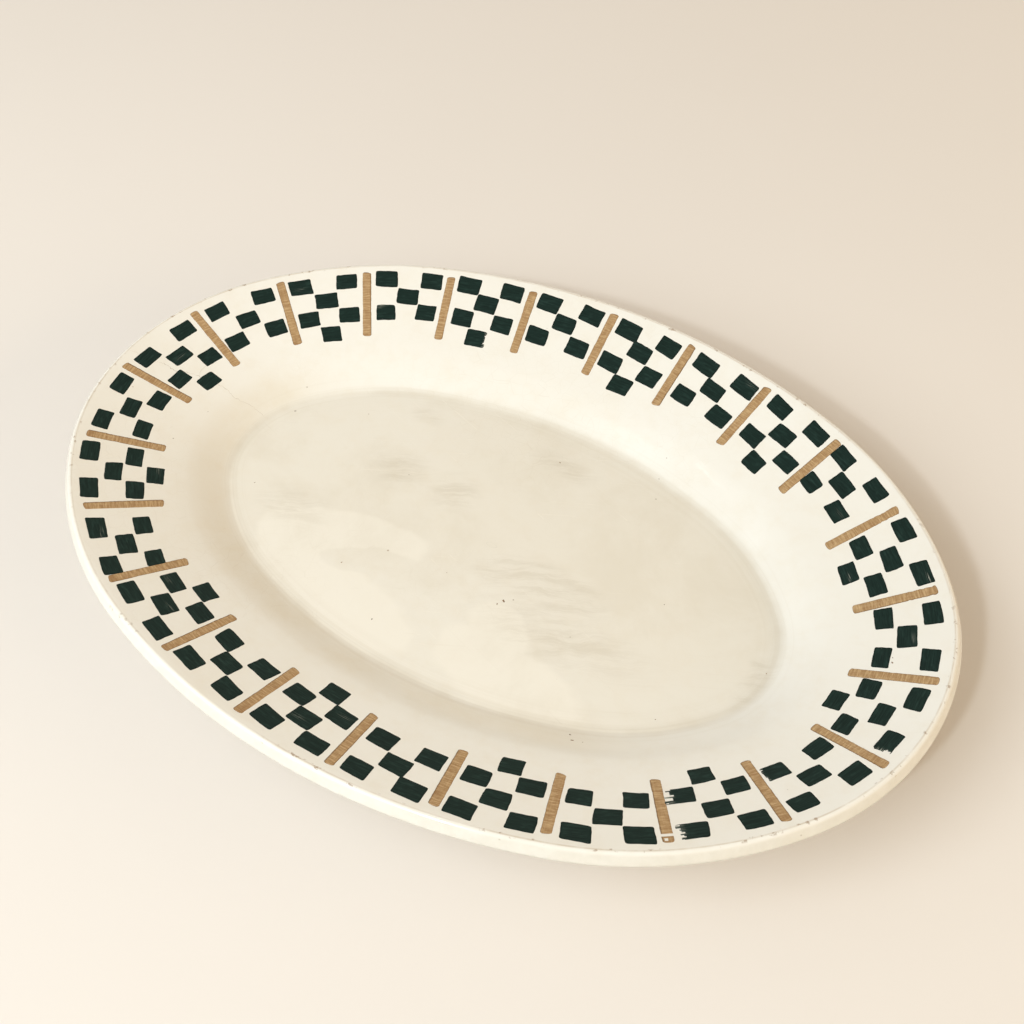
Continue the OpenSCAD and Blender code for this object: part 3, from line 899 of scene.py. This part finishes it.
def checks(name, nodes, seed0, odd=()):
    """A row of checks. odd lists the ones where the brush ran dry: part of the
    way round, inset, the end, how deep, and how far that end is dragged out."""
    nu, nv = 21, 15
    lift = 0.060 * MM
    found = islands(nodes)
    dry = {nearest(found, part, s): (end, depth, drag) for part, s, end, depth, drag in odd}
    parts = []
    for i, mark in enumerate(found):
        seed = seed0 + i * 0.618
        end, depth, drag = dry.get(i, (0, 0, 0))
        v, low, e, tone, uv, p, q = dab(mark, seed, nu, nv, lift, -drag * MM)
        keep = np.ones((nu - 1, nv - 1), bool)
        wet = np.zeros(nu * nv)
        if depth > 0:
            keep = ~dry_cells(seed, nu, nv, end, depth)
            wet = np.clip(1 - (1 - end * p) / (3.2 * depth), 0, 1).ravel()
        elif depth < 0:                                     # a light streak in the paint
            cy = 0.75 * rand(seed, 61)
            wet = (np.exp(-((p - end * 0.55) / 0.4) ** 2 - ((q - cy) / 0.13) ** 2)).ravel()
        elif rand(i, seed0, 3) > 0.86:                      # the odd thin patch
            cx, cy = 0.5 * rand(i, 5, seed0), 0.6 * rand(i, 6, seed0)
            wet = (0.35 * np.exp(-((p - cx) / 0.45) ** 2 - ((q - cy) / 0.16) ** 2)).ravel()
        parts.append((v, low, keep, {"edge": e, "tone": tone, "dry": wet}, uv))
    return gather(name, nodes, parts, M_GREEN)


checks("checks_outer_row", "green_checks_outer", 1.0,
       [(0.899, 6.6, -1, 0.20, 0.5), (0.981, 8.2, -1, 0.10, 0), (0.065, 7.6, -1, -1, 0), (0.610, 8.2, 1, -1, 0)])
checks("checks_second_row", "green_checks_second", 2.0)
checks("checks_third_row", "green_checks_third", 3.0,
       [(0.898, 22.2, -1, 0.24, 1.6), (0.940, 23.7, -1, 0.08, 0), (0.382, 23.3, 1, -1, 0)])
checks("checks_inner_row", "green_checks_inner", 4.0,
       [(0.328, 31.6, -1, 0.09, 0), (0.577, 30.4, -1, -1, 0), (0.076, 30.0, -1, -1, 0)])


def bars():
    nu, nv = 11, 76                                  # across, along
    found = islands("ochre_bars")
    broken = nearest(found, 0.891, 18)
    ragged_at = {nearest(found, 0.085, 18), nearest(found, 0.048, 18)}
    parts = []
    for i, mark in enumerate(found):
        seed = 9.0 + i * 0.618
        m, along, across, c, area = local(mark)
        length = math.sqrt(12 * c[1, 1])
        lean = c[0, 1] / c[1, 1]
        w = area / length
        p, q = np.meshgrid(np.linspace(-1, 1, nu), np.linspace(-1, 1, nv), indexing="ij")
        t = (q + 1) / 2
        half = w / 2 * (1.02 + 0.030 * wave(t * 0.9, seed, 4, 0.8) + 0.025 * np.sin(t * 3 + seed))
        # each side has its own finely toothed line
        side = np.where(p > 0, 1.0, 2.0)
        teeth = np.array([noise.fractal(Vector((b * 11, a * 9.1, seed)), 1.0, 2.0, 3)
                          for a, b in zip(side.ravel(), q.ravel())]).reshape(p.shape)
        rough = 0.22 if i in ragged_at else 0.075
        x = p * half + np.sign(p) * abs(p) ** 4 * teeth * MM * rough * np.where(i in ragged_at, 1.6 * (q < -0.3), 1)
        # the ends are nearly square, their corners rounded off by half a millimetre
        gap = (1 - abs(q)) * length / 2
        r = 0.75 * MM
        corner = np.clip(1 - gap / r, 0, 1)
        x = x * (1 - (1 - np.sqrt(np.clip(1 - corner ** 2, 0, 1))) * 2 * r / w * 0.85)
        askew = 0.28 * MM * p * np.where(q > 0, rand(seed, 3, 1), rand(seed, 3, 2))
        y = q * length / 2 * 1.008 + abs(q) ** 8 * (askew + np.sign(q) * 0.10 * MM * (1 - p ** 2))
        x = x + lean * y
        gx = m[0] + x * along[0] + y * across[0]
        gy = m[1] + x * along[1] + y * across[1]
        lift = 0.066 * MM * (1 - 0.70 * abs(p) ** 6) * (1 - 0.7 * np.clip((abs(q) - 0.98) / 0.02, 0, 1))
        left, right = 0.50 + 0.14 * rand(seed, 1), 0.34 + 0.16 * rand(seed, 2)
        edge_ = np.maximum(np.clip((abs(p) - 0.45) / 0.55, 0, 1) * np.where(p < 0, left, right) * 1.55,
                           np.clip((abs(q) - 0.945) / 0.055, 0, 1) * 0.66)
        tone = np.array([noise.fractal(Vector((seed * 5, b * 2.7, 0.3 * a)), 1.0, 2.0, 3)
                         for a, b in zip(p.ravel(), q.ravel())])
        pool = np.clip((-q - 0.80) / 0.2, 0, 1).ravel() * (0.5 + 0.5 * rand(seed, 8))
        tone = np.clip(0.10 + tone * 0.8, 0, 1) * 0.8 + 0.5 * pool
        uv = np.stack([x.ravel() / MM + 11 * seed, y.ravel() / MM + 37 * seed], -1)
        keep = np.ones((nu - 1, nv - 1), bool)
        if i == broken:                              # the glaze crawled across this one
            tc = (np.arange(nv - 1) + 0.5) / (nv - 1)
            pc = (np.arange(nu - 1) + 0.5) / (nu - 1) * 2 - 1
            keep[:, (tc > 0.092) & (tc < 0.128)] = False
            keep[np.ix_((pc > -0.55) & (pc < 0.1), (tc > 0.028) & (tc < 0.070))] = False
        parts.append((on_face(gx.ravel(), gy.ravel(), lift.ravel()),
                      on_face(gx.ravel(), gy.ravel(), np.full(gx.size, -0.03 * MM)),
                      keep, {"edge": edge_.ravel(), "tone": tone}, uv))
    gather("bars_round_rim", "ochre_bars", parts, M_OCHRE)


bars()


# ------------------------------------------------- marks of age in the glaze --
def on_plan(part_x, part_y, lift):
    """A point on the upper face; the place is in parts of the half length."""
    return on_face(np.array([part_x * RIM_A]), np.array([part_y * RIM_A]), np.array([lift]))[0]


def spots():
    """Iron specks: low irregular domes where grains of the clay burnt through."""
    V, F, n = [], [], 0
    for i, (fx, fy, r) in enumerate(((0.0, 0.295, 0.40), (0.105, -0.118, 0.62), (0.098, -0.132, 0.42),
                                     (-0.104, -0.306, 0.36), (-0.25, -0.215, 0.34), (-0.625, 0.105, 0.42),
                                     (0.877, 0.096, 0.42), (0.872, 0.108, 0.28), (0.66, 0.008, 0.30),
                                     (-0.47, 0.19, 0.26), (0.40, 0.055, 0.24), (-0.56, -0.13, 0.30),
                                     (0.41, -0.352, 0.42), (0.398, -0.337, 0.34), (0.43, -0.345, 0.26),
                                     (0.22, 0.37, 0.24), (-0.04, -0.118, 0.22), (0.52, -0.21, 0.24))):
        k, rows = 12, 3
        c = on_plan(fx, fy, 0)
        pts = []
        for j in range(rows):
            rr = r * (1 - j / rows) * MM
            for a in range(k):
                t = 2 * math.pi * a / k
                q = rr * (1 + 0.28 * rand(i, a % k, 3)) * (1 + 0.35 * math.cos(2 * t + i))
                pts.append((c[0] + q * math.cos(t), c[1] + q * math.sin(t), c[2] + (-0.02 + 0.03 * j) * MM))
        pts.append((c[0], c[1], c[2] + 0.06 * MM))
        pts.append((c[0], c[1], c[2] - 0.05 * MM))
        for j in range(rows - 1):
            F += [(n + j * k + a, n + j * k + (a + 1) % k, n + (j + 1) * k + (a + 1) % k, n + (j + 1) * k + a)
                  for a in range(k)]
        F += [(n + (rows - 1) * k + a, n + (rows - 1) * k + (a + 1) % k, n + rows * k) for a in range(k)]
        F += [(n + (a + 1) % k, n + a, n + rows * k + 1) for a in range(k)]
        V += pts
        n += len(pts)
    ob = make("iron_specks", warp(np.array(V)), F)
    ob.data.materials.append(M_SPECK)


def hairlines():
    """Cracks in the glaze: thin closed slivers that follow the surface."""
    V, F, n = [], [], 0
    for seed, width, line in ((1, 0.13, [(-0.992, -0.040), (-0.93, -0.018), (-0.885, -0.005), (-0.838, 0.020),
                                         (-0.783, 0.033), (-0.72, 0.040), (-0.66, 0.052)]),
                              (2, 0.08, [(-0.838, 0.020), (-0.845, 0.050), (-0.83, 0.085)])):
        pts = []
        for (ax, ay), (bx, by) in zip(line, line[1:]):
            k = 14
            for i in range(k):
                t = i / k
                j = 0.0022 * rand(seed, len(pts), 5) + 0.003 * math.sin(len(pts) * 0.35 + seed)
                pts.append((ax + (bx - ax) * t + j * (by - ay) * 8, ay + (by - ay) * t + j))
        for i, (x, y) in enumerate(pts):
            x2, y2 = pts[min(i + 1, len(pts) - 1)]
            x1, y1 = pts[max(i - 1, 0)]
            d = np.array([x2 - x1, y2 - y1])
            d = np.array([-d[1], d[0]]) / (np.linalg.norm(d) + 1e-9)
            w = width * MM / 2 * math.sin(math.pi * (i + 0.6) / (len(pts) + 0.2)) ** 0.5 * (1 + 0.5 * rand(seed, i, 8))
            p = on_plan(x, y, 0.018 * MM)
            q = on_plan(x, y, -0.04 * MM)
            V += [(p[0] + d[0] * w, p[1] + d[1] * w, p[2]), (p[0] - d[0] * w, p[1] - d[1] * w, p[2]), tuple(q)]
        m = len(pts)
        for i in range(m - 1):
            for a, b in ((0, 1), (1, 2), (2, 0)):
                F.append((n + 3 * i + a, n + 3 * i + b, n + 3 * i + 3 + b, n + 3 * i + 3 + a))
        F += [(n, n + 2, n + 1), (n + 3 * m - 3, n + 3 * m - 2, n + 3 * m - 1)]
        n += 3 * m
    ob = facing_out(make("hairline_cracks", warp(np.array(V)), F, smooth=False))
    ob.data.materials.append(M_CRACK)


def lip_chips():
    """Flakes lost from the roll of the lip: shallow rough scars, slightly proud
    of the glaze so that they read, each a closed patch along the roll."""
    V, F, n = [], [], 0
    roll = UPPER[edge - 3:edge + 12]
    along = np.r_[0, np.cumsum(np.linalg.norm(np.diff(roll, axis=0), axis=1))]
    for i, (part, mid, half_u, half_v) in enumerate(((0.652, 2.4, 1.5, 0.75), (0.658, 1.9, 0.8, 0.5),
                                                     (0.972, 2.2, 0.6, 0.45), (0.600, 2.6, 0.5, 0.35),
                                                     (0.741, 2.0, 0.6, 0.35), (0.835, 2.3, 0.5, 0.3))):
        k = 18
        ring_u = ring_place(part, 0)
        ring_v = ring_place(part + 0.001, 0)
        step = np.linalg.norm(ring_v - ring_u) / 0.001
        pts = []
        for lay, rr in ((0.055, 0.55), (0.030, 1.0)):
            for a in range(k):
                t = 2 * math.pi * a / k
                g = 1 + 0.35 * rand(i, a, 13)
                u = part + half_u * MM * rr * g * math.cos(t) / step
                d = mid + half_v * rr * g * math.sin(t)
                s, z = np.interp(d, along, roll[:, 0]), np.interp(d, along, roll[:, 1])
                s2, z2 = np.interp(d + 0.1, along, roll[:, 0]), np.interp(d + 0.1, along, roll[:, 1])
                nx, nz = (z2 - z), (s2 - s)
                ln = math.hypot(nx, nz) + 1e-9
                off = lay if rr < 1 else -0.02
                s, z = s + nx / ln * off, z - nz / ln * off
                x = ring_place(u, s)
                pts.append((x[0], x[1], z * MM * K))
        c = np.mean(pts[:k], axis=0)
        b = np.mean(pts[k:], axis=0)
        pts += [tuple(c), tuple(b * [0.9985, 0.9985, 0.995])]
        F += [(n + a, n + (a + 1) % k, n + 2 * k) for a in range(k)]
        F += [(n + k + a, n + k + (a + 1) % k, n + (a + 1) % k, n + a) for a in range(k)]
        F += [(n + k + (a + 1) % k, n + k + a, n + 2 * k + 1) for a in range(k)]
        V += pts
        n += len(pts)
    ob = facing_out(make("lip_chips", warp(np.array(V)), F, smooth=False))
    ob.data.materials.append(M_CHIP)


spots()
hairlines()
lip_chips()

# ------------------------------------------------------------------ staging --
def plain(name, colour, rough):
    g = Nodes(name)
    n = g.noise(g.obj, 3.0, 4.0, 0.5)
    g.set(Base_Color=g.mix(g.between(n, 0.3, 0.7), [c * 0.985 for c in colour], colour), Roughness=rough)
    return g.mat


bpy.ops.mesh.primitive_plane_add(size=12, location=(0, 0, 0))
floor = bpy.context.object
floor.name = "floor"
floor.data.materials.append(plain("pale_floor", (0.775, 0.725, 0.676), 0.62))

world = bpy.data.worlds.new("studio")
bpy.context.scene.world = world
world.use_nodes = True
world.node_tree.nodes["Background"].inputs[0].default_value = (1.0, 0.885, 0.73, 1)
world.node_tree.nodes["Background"].inputs[1].default_value = 0.53


def softbox(name, where, look, size, watts, colour):
    d = bpy.data.lights.new(name, "AREA")
    d.shape = "RECTANGLE"
    d.size, d.size_y = size
    d.energy = watts
    d.color = colour
    o = bpy.data.objects.new(name, d)
    bpy.context.scene.collection.objects.link(o)
    o.location = where
    o.rotation_mode = "QUATERNION"
    o.rotation_quaternion = (Vector(look) - Vector(where)).to_track_quat("-Z", "Y")
    return o


# a large window low on the near left, a smaller one further off that gives the
# shadow its edge, a strip of sky in three panes for the far wall of the well to
# mirror, a narrow lamp for the glint in it, and the warm light that a pale room
# sends back into the near side of the well, too even to be mirrored
softbox("window", (-0.55, -1.02, 0.86), (0, 0, 0), (1.0, 0.9), 13.0, (0.89, 0.96, 1.0))
softbox("far_window", (-0.08, -2.1, 1.75), (0, 0, 0), (0.18, 0.18), 20.5, (0.87, 0.96, 1.0))
softbox("pane_a", (-0.80, -0.81, 1.91), (0, 0, 0), (0.60, 0.50), 1.6, (0.84, 0.93, 1.0))
softbox("pane_b", (-1.44, -0.53, 1.61), (0, 0, 0), (0.60, 0.50), 2.2, (0.80, 0.92, 1.0))
softbox("pane_c", (-1.80, -0.04, 1.25), (0, 0, 0), (0.60, 0.50), 1.6, (0.90, 0.95, 1.0))
softbox("lamp", (-0.88, -0.24, 1.78), (0.05, 0.07, 0), (0.035, 0.12), 0.05, (0.91, 0.968, 1.0))
softbox("room_back", (0.0, 1.60, 0.58), (0, 0, 0), (1.6, 0.50), 2.2, (1.0, 0.74, 0.48)).visible_glossy = False
softbox("room_right", (1.50, 0.30, 0.58), (0, 0, 0), (1.6, 0.50), 10.0, (1.0, 0.77, 0.47)).visible_glossy = False

# ------------------------------------------------------------------- camera --
eye = Vector((1.0855 * RIM_A, -1.6687 * RIM_A, 2.2227 * RIM_A + H))
yaw, pitch, roll = -0.554326, 0.845691, 0.004219
fwd = Vector((math.sin(yaw) * math.cos(pitch), math.cos(yaw) * math.cos(pitch), -math.sin(pitch)))
right = Vector((math.cos(yaw), -math.sin(yaw), 0))
up = right.cross(fwd)
r2 = right * math.cos(roll) + up * math.sin(roll)
u2 = up * math.cos(roll) - right * math.sin(roll)
cam_data = bpy.data.cameras.new("camera")
cam_data.sensor_width = 36
cam_data.lens = 36 * 1400.0 / 1024
cam_data.clip_start, cam_data.clip_end = 0.01, 50
cam = bpy.data.objects.new("camera", cam_data)
bpy.context.scene.collection.objects.link(cam)
cam.matrix_world = Matrix.Translation(eye) @ Matrix((r2, u2, -fwd)).transposed().to_4x4()
bpy.context.scene.camera = cam
bpy.context.scene.view_settings.view_transform = "Standard"
